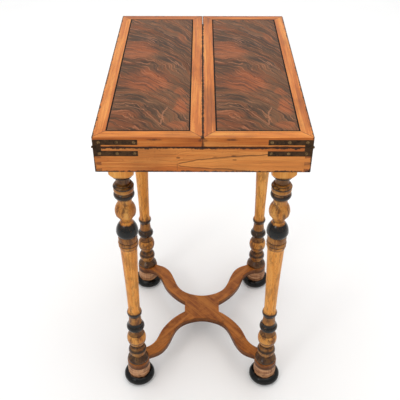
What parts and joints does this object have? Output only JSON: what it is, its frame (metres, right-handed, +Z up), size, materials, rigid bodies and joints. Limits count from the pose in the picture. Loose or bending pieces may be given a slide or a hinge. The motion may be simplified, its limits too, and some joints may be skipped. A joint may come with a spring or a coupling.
{
  "type": "folding card table",
  "caption": "Small card table whose two leaves swing out sideways from a shallow dovetailed box on turned legs, tied low down by a serpentine cross stretcher on bun feet.",
  "frame": {"origin": "on the floor, below the middle of the table", "axes": "+Z up, -Y is the front with the hinge straps in view, +X to the right of a person who looks at the front"},
  "size_m": [0.364, 0.513, 0.718],
  "materials": {
    "baize": "green wool baize",
    "black_line": "polished ebonised line",
    "brass": "worn brass",
    "bronze": "darkened brass",
    "foot_wood": "ebonised bun under a pale collar",
    "honey_wood": "satin polished honey-coloured wood",
    "inner_wood": "unpolished secondary wood",
    "rosewood": "polished dark figured veneer",
    "steel": "plain steel",
    "stretcher_wood": "satin polished wood",
    "turned_wood": "satin polished wood, painted dark on the rings"
  },
  "bodies": {
    "base": {"back_cross_rail": "inner_wood", "back_left_foot": "foot_wood", "back_left_leg": "turned_wood", "back_right_foot": "foot_wood", "back_right_leg": "turned_wood", "bed_ledges": "inner_wood", "box_back_board": "honey_wood", "box_bottom_board": "inner_wood", "box_front_board": "honey_wood", "box_hinge_screws": "brass", "box_left_board": "honey_wood", "box_right_board": "honey_wood", "frame_screws": "steel", "front_cross_rail": "inner_wood", "front_left_foot": "foot_wood", "front_left_leg": "turned_wood", "front_right_foot": "foot_wood", "front_right_leg": "turned_wood", "left_back_hinge_box_plate": "bronze", "left_back_hinge_pin": "bronze", "left_front_hinge_box_plate": "bronze", "left_front_hinge_pin": "bronze", "left_side_rail": "inner_wood", "lower_stretcher": "stretcher_wood", "playing_bed": "inner_wood", "playing_bed_baize": "baize", "right_back_hinge_box_plate": "bronze", "right_back_hinge_pin": "bronze", "right_front_hinge_box_plate": "bronze", "right_front_hinge_pin": "bronze", "right_side_rail": "inner_wood", "upper_stretcher": "stretcher_wood"},
    "left_leaf": {"left_leaf_back_rail": "honey_wood", "left_leaf_baize": "baize", "left_leaf_core_board": "inner_wood", "left_leaf_front_rail": "honey_wood", "left_leaf_inner_stile": "honey_wood", "left_leaf_outer_stile": "honey_wood", "left_leaf_screws": "brass", "left_leaf_stringing": "black_line", "left_leaf_veneer_panel": "rosewood", "left_back_hinge_leaf_plate": "bronze", "left_front_hinge_leaf_plate": "bronze"},
    "right_leaf": {"right_leaf_back_rail": "honey_wood", "right_leaf_baize": "baize", "right_leaf_core_board": "inner_wood", "right_leaf_front_rail": "honey_wood", "right_leaf_inner_stile": "honey_wood", "right_leaf_outer_stile": "honey_wood", "right_leaf_screws": "brass", "right_leaf_stringing": "black_line", "right_leaf_veneer_panel": "rosewood", "right_back_hinge_leaf_plate": "bronze", "right_front_hinge_leaf_plate": "bronze"}
  },
  "joints": [
    {"name": "left_leaf_hinge", "type": "hinge", "parent": "base", "child": "left_leaf", "pos_m": [-0.1772, 0, 0.6998], "axis": [0, -1, 0], "range_deg": [0, 180]},
    {"name": "right_leaf_hinge", "type": "hinge", "parent": "base", "child": "right_leaf", "pos_m": [0.1772, 0, 0.6998], "axis": [0, 1, 0], "range_deg": [0, 180]}
  ]
}
